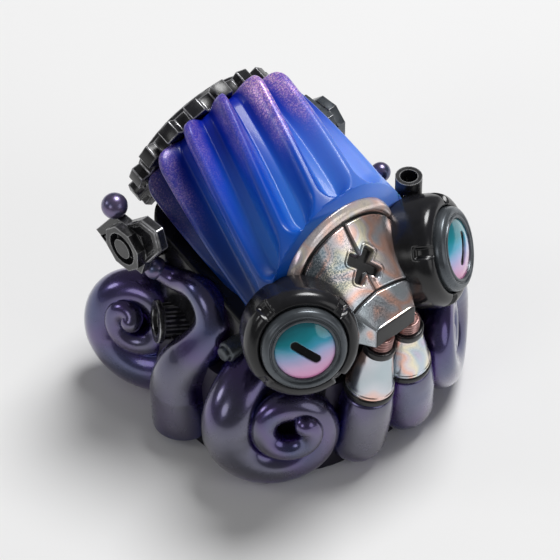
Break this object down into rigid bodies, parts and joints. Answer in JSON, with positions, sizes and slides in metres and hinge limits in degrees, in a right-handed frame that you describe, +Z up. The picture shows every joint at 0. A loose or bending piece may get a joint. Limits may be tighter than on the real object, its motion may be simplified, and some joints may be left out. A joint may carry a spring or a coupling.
{
  "type": "artisan keycap",
  "caption": "Sculpted keycap: an octopus with a ribbed head, mask and goggles, its coiled arms forming a hollow skirt round a cross-socket stem.",
  "frame": {"origin": "middle of the stem's end face, level with the skirt's rim", "axes": "+Z up out of the keyboard, -Y to the typist's side, where the mask looks, +X to the right of a typist"},
  "size_m": [0.019, 0.019, 0.0198],
  "materials": {
    "arm_resin": "dark violet pearl, satin gloss",
    "blue_resin": "deep blue translucent resin, gloss",
    "black_resin": "black, worn grey edges",
    "grey_resin": "grey brushed over black",
    "silver_resin": "silver pearl, gloss",
    "lens_resin": "clear coat over a teal to pink blend"
  },
  "bodies": {
    "root": {"arm_base": "arm_resin", "ribbed_head": "blue_resin", "gear_collar": "black_resin", "mask_plate": "silver_resin", "cuff_left": "silver_resin", "cuff_right": "silver_resin", "cuff_band_left": "black_resin", "cuff_band_right": "black_resin", "goggle_left": "black_resin", "goggle_right": "black_resin", "bezel_left": "grey_resin", "bezel_right": "grey_resin", "lens_left": "lens_resin", "lens_right": "lens_resin", "valve_plate_left": "black_resin", "valve_plate_right": "black_resin", "knurled_knob": "black_resin", "breather_pipe": "black_resin", "strap_bolt": "black_resin"}
  },
  "joints": []
}
